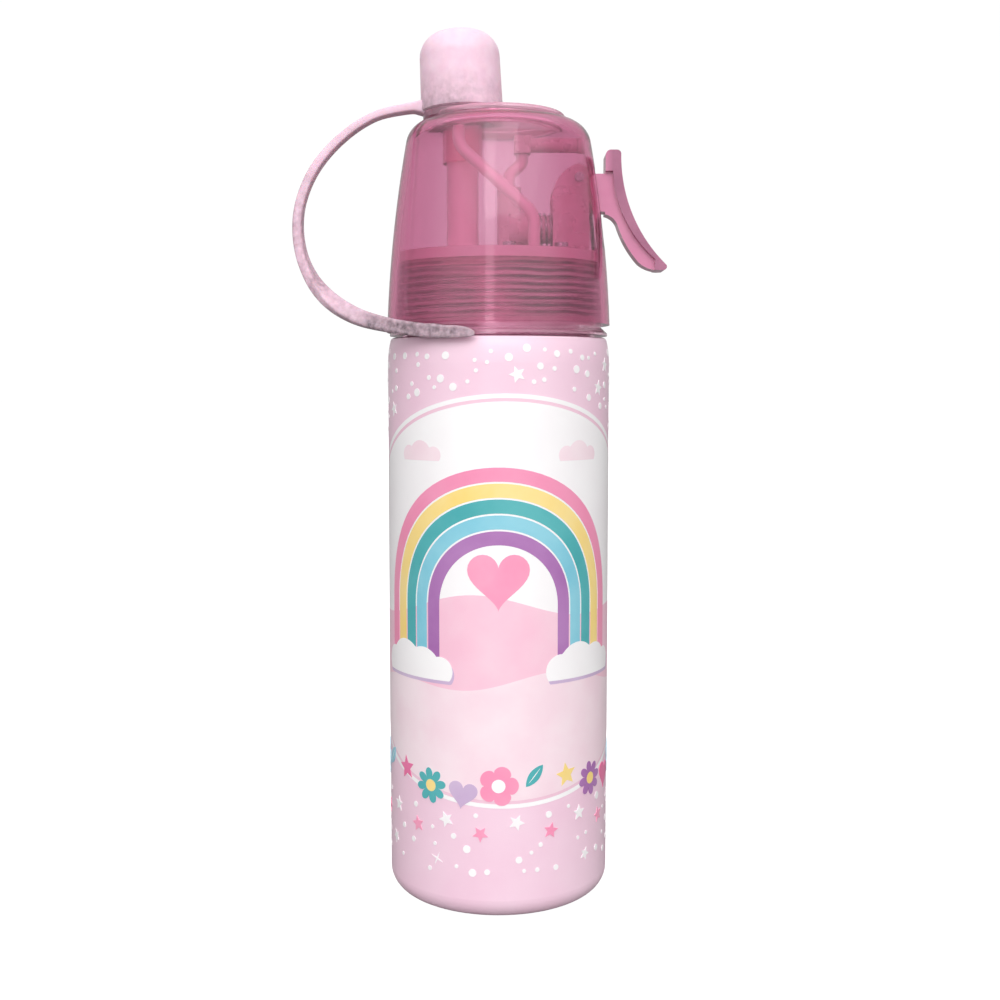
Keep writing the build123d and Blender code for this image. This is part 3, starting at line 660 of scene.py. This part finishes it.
def swept(name, stations, profile, sharp=50):
    """A solid through rings of profile points. stations are (centre, width axis, width, thickness)."""
    points, faces = [], []
    centres = [Vector(s[0]) for s in stations]
    count = len(profile)
    for i, (centre, wide_way, width, thickness) in enumerate(stations):
        ahead = centres[min(i + 1, len(centres) - 1)] - centres[max(i - 1, 0)]
        ahead.normalize()
        wide_axis = Vector(wide_way)
        wide_axis = (wide_axis - ahead * wide_axis.dot(ahead)).normalized()
        thick_axis = ahead.cross(wide_axis)
        for u, v in profile:
            points.append(centres[i] + wide_axis * (u * width / 2) + thick_axis * (v * thickness / 2))
        if i:
            start, before = i * count, (i - 1) * count
            for k in range(count):
                n = (k + 1) % count
                faces.append((before + k, before + n, start + n, start + k))
    for ring, way in ((0, -1), (len(stations) - 1, 1)):
        middle = len(points)
        points.append(centres[ring])
        for k in range(count):
            pair = (ring * count + k, ring * count + (k + 1) % count)
            faces.append((pair[0], pair[1], middle) if way > 0 else (pair[1], pair[0], middle))
    return new_object(name, mesh_from(name, points, faces, sharp))


def rounded_bar(corner=0.42, dish=0.1, steps=4):
    """A bar's section from -1 to 1, with round corners and slightly dished broad faces."""
    outline = []
    for cx, cy, start in ((1, 1, 0), (-1, 1, 90), (-1, -1, 180), (1, -1, 270)):
        for k in range(steps + 1):
            a = radians(start + 90 * k / steps)
            outline.append((cx * (1 - corner) + corner * cos(a), cy * (1 - corner) + corner * sin(a)))
        if start in (0, 180):
            for share in (0.6, 0.2, -0.2, -0.6):
                u = share * cx * (1 - corner)
                outline.append((u, cy * (1 - dish * (1 - (share / 0.8) ** 2) ** 0.5)))
    return outline


# Each station: x, y, z of its centre, how far its broad side has turned from flat (0) to upright (1),
# width and thickness.
STRAP = [
    (-20.9, 0.0, 226.9, 0, 7.4, 4.6), (-22.6, 0.0, 226.9, 0, 6.4, 3.4),
    (-25.4, 0.0, 226.8, 0, 5.4, 2.6), (-33.4, 0.0, 225.2, 0, 5.0, 2.3),
    (-38.9, 0.0, 222.7, 0, 5.0, 2.3), (-44.1, -0.2, 219.0, 0, 5.0, 2.4),
    (-48.7, -0.5, 214.6, 0, 5.0, 2.5), (-52.5, -1.0, 209.6, 0.0, 5.0, 2.6),
    (-55.3, -1.6, 203.9, 0.04, 5.0, 2.7), (-57.0, -2.4, 197.5, 0.08, 5.0, 2.8),
    (-57.1, -3.6, 190.4, 0.14, 5.0, 2.9), (-55.4, -5.5, 183.2, 0.22, 5.0, 2.9),
    (-51.7, -8.0, 176.4, 0.34, 4.9, 3.0), (-46.3, -11.6, 171.0, 0.5, 4.7, 3.0),
    (-39.5, -15.8, 167.1, 0.68, 4.5, 2.9), (-32.4, -20.2, 164.9, 0.86, 4.1, 2.7),
    (-26.4, -23.8, 163.7, 1.0, 3.8, 2.5), (-20.5, -27.0, 162.8, 1.0, 3.7, 2.3),
    (-14.6, -30.1, 162.3, 1.0, 3.5, 2.1), (-10.8, -31.7, 162.2, 1.0, 3.2, 1.8),
    (-8.6, -32.4, 162.0, 1.0, 2.7, 1.4), (-7.2, -32.7, 161.8, 1.0, 1.9, 1.0),
    (-6.4, -32.9, 161.7, 1.0, 1.0, 0.6),
]  # fmt: skip
stations = []
for x, y, z, turn, width, thickness in spline(STRAP, 6):
    share = max(0.0, min(1.0, turn))
    wide_way = (0, cos(share * pi / 2), sin(share * pi / 2))
    stations.append(((x, y, z), wide_way, width, thickness))
strap = swept("tether_strap", stations, rounded_bar())
paint(strap, strap_silicone)
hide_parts("cap_strap")
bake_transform(strap)


def band(name, section, start=0, stop=360):
    """A ring with the section (radius, height) round the lid's axis, between two angles from +X."""
    steps, count = ceil((stop - start) / 3), len(section)
    closed = stop - start == 360
    rows = steps if closed else steps + 1
    points, faces = [], []
    for i in range(rows):
        a = radians(start + (stop - start) * i / steps)
        points += [(r * cos(a), r * sin(a), z) for r, z in section]
    for i in range(steps):
        here, there = i * count, ((i + 1) % rows) * count
        for k in range(count):
            n = (k + 1) % count
            faces.append((here + k, there + k, there + n, here + n))
    if not closed:
        faces += [tuple(range(count)), tuple(range((rows - 1) * count, rows * count))]
    return new_object(name, mesh_from(name, points, faces))


collar = band("collar_ring", [(29.9, 163.2), (31.2, 163.05), (32.2, 163.05), (32.5, 163.3), (32.5, 164.4),
                              (32.2, 164.65), (29.9, 164.65)], 60, 238)  # fmt: skip
# The collar lies below the strap material's painted-shade height, so all of it is darkened by that
# painted shade.
paint(collar, strap_silicone)
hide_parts("strap_collar")
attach(collar, "lid")

# A pale ring at the edge of the deck is a painted highlight: it stands in for the light that edge
# catches, as a pale band under the shell.
deck_highlight_finish = Material("deck_highlight_pink", "FFE4EE", Transmission_Weight=0.1, IOR=1.47)
deck_highlight_finish.mottle(110, [(0.3, "FFDDEA"), (0.7, "FFEAF2")]).uneven_gloss(90, 0.15, 0.25).bumpy((120, 0.04))
deck_highlight_band = band("deck_highlight_band", [(28.4, 182.3), (28.88, 182.3), (28.63, 185.15), (28.1, 185.15)])
paint(deck_highlight_band, deck_highlight_finish)
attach(deck_highlight_band, "lid")

COIL_TURNS, COIL_STEPS, COIL_R, WIRE = 6, 20, 4.45, 0.6
COIL_START, COIL_LENGTH, COIL_Z = 11.4, 8.7, 192.5
coil = []
for i in range(COIL_TURNS * COIL_STEPS + 1):
    a = 2 * pi * i / COIL_STEPS
    x = COIL_START + COIL_LENGTH * i / (COIL_TURNS * COIL_STEPS)
    coil.append(((x, COIL_R * cos(a), COIL_Z + COIL_R * sin(a)), (1, 0, 0), WIRE, WIRE))
spring = swept("pump_spring", coil, [(cos(pi * k / 4), sin(pi * k / 4)) for k in range(8)])
paint(spring, steel)
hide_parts("return_spring")
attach(spring, "lid")
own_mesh(spring)

# ---- stage, lights and camera ----------------------------------------------------------------
floor_mesh = bpy.data.meshes.new("studio_floor")
FLOOR_R, FLOOR_Z, FLOOR_SIDES = 12, -0.0002, 64
turns = [2 * pi * i / FLOOR_SIDES for i in range(FLOOR_SIDES)]
rim = [(FLOOR_R * cos(a), FLOOR_R * sin(a), FLOOR_Z) for a in turns]
floor_mesh.from_pydata(rim, [], [tuple(range(FLOOR_SIDES))])
floor = new_object("studio_floor", floor_mesh)
plain = Material("studio_floor", "8E8B8C", Roughness=0.95)
plain.mottle(3, [(0.3, "8C898A"), (0.7, "908D8E")])
plain.shader.inputs["Specular IOR Level"].default_value = 0.1
# The floor is shown brighter than it lights the bottle from below, so it merges with the backdrop.
glow = plain.node("ShaderNodeEmission")
glow.inputs["Strength"].default_value = 1.0
lifted = plain.node("ShaderNodeAddShader")
plain.link(plain.shader.outputs["BSDF"], lifted.inputs[0])
plain.link(glow.outputs["Emission"], lifted.inputs[1])
ray = plain.node("ShaderNodeLightPath")
shown = plain.node("ShaderNodeMixShader")
plain.link(ray.outputs["Is Camera Ray"], shown.inputs["Fac"])
plain.link(plain.shader.outputs["BSDF"], shown.inputs[1])
plain.link(lifted.outputs["Shader"], shown.inputs[2])
plain.link(shown.outputs["Shader"], plain.output.inputs["Surface"])
floor.data.materials.append(plain.material)

# The room is brightest in front, then above, then behind, and darkest to the left and right.
world = bpy.data.worlds.new("studio")
scene.world = world
world.use_nodes = True
tree = world.node_tree
around = tree.nodes["Background"]
around.inputs["Color"].default_value = (1, 0.985, 0.99, 1)
direction = tree.nodes.new("ShaderNodeTexCoord")
parts = tree.nodes.new("ShaderNodeSeparateXYZ")
tree.links.new(direction.outputs["Generated"], parts.inputs["Vector"])
ROOM_LIGHT = 0.15
level = None
for axis, far, strength in (("Y", -0.8, 1.2), ("Y", 0.95, 0.3), ("Z", 0.95, 0.5)):
    share = tree.nodes.new("ShaderNodeMapRange")
    share.interpolation_type = "SMOOTHSTEP"
    values = {"From Min": far * 0.1, "From Max": far, "To Min": 0.0, "To Max": strength}
    for key, value in values.items():
        share.inputs[key].default_value = value
    tree.links.new(parts.outputs[axis], share.inputs["Value"])
    total = tree.nodes.new("ShaderNodeMath")
    total.inputs[1].default_value = ROOM_LIGHT
    tree.links.new(share.outputs["Result"], total.inputs[0])
    if level:
        tree.links.new(level, total.inputs[1])
    level = total.outputs["Value"]
tree.links.new(level, around.inputs["Strength"])
# The white backdrop is what is seen past the bottle, and a little dimmer through its clear parts.
path = tree.nodes.new("ShaderNodeLightPath")
shown = around.outputs["Background"]
for rays, strength in (("Is Transmission Ray", 0.9), ("Is Camera Ray", 1.02)):
    seen = tree.nodes.new("ShaderNodeBackground")
    seen.inputs["Color"].default_value = (1, 1, 1, 1)
    seen.inputs["Strength"].default_value = strength
    mix = tree.nodes.new("ShaderNodeMixShader")
    tree.links.new(path.outputs[rays], mix.inputs["Fac"])
    tree.links.new(shown, mix.inputs[1])
    tree.links.new(seen.outputs["Background"], mix.inputs[2])
    shown = mix.outputs["Shader"]
tree.links.new(shown, tree.nodes["World Output"].inputs["Surface"])


def softbox(name, place, aim, size, power):
    """A rectangular lamp at place that looks at aim."""
    lamp = bpy.data.lights.new(name, "AREA")
    lamp.shape = "RECTANGLE"
    lamp.size, lamp.size_y = size
    lamp.energy = power
    piece = new_object(name, lamp)
    piece.location = place
    piece.rotation_euler = (Vector(aim) - Vector(place)).to_track_quat("-Z", "Y").to_euler()


softbox("front_softbox", (0.1, -1.6, 1.25), (0, 0, 0.12), (1.3, 0.9), 7.0)
softbox("strip_low", (-0.18, -1.15, 0.27), (0, 0, 0.19), (0.2, 0.13), 0.25)
softbox("strip_high", (-0.18, -1.15, 0.6), (0, 0, 0.19), (0.2, 0.5), 0.4)
ceiling = bpy.data.lights.new("ceiling_glow", "SUN")
ceiling.energy, ceiling.angle = 0.8, radians(110)
glowing = new_object("ceiling_glow", ceiling)
glowing.rotation_euler = (radians(18), 0, 0)

camera = bpy.data.cameras.new("camera")
camera.lens, camera.sensor_width = 46.8, 36
camera.shift_x = 0.0015
camera.clip_start, camera.clip_end = 0.01, 50
eye = new_object("camera", camera)
eye.location = (0, -0.380, 0.1477)
eye.rotation_euler = (radians(85), 0, 0)
scene.camera = eye
scene.view_settings.view_transform = "Standard"
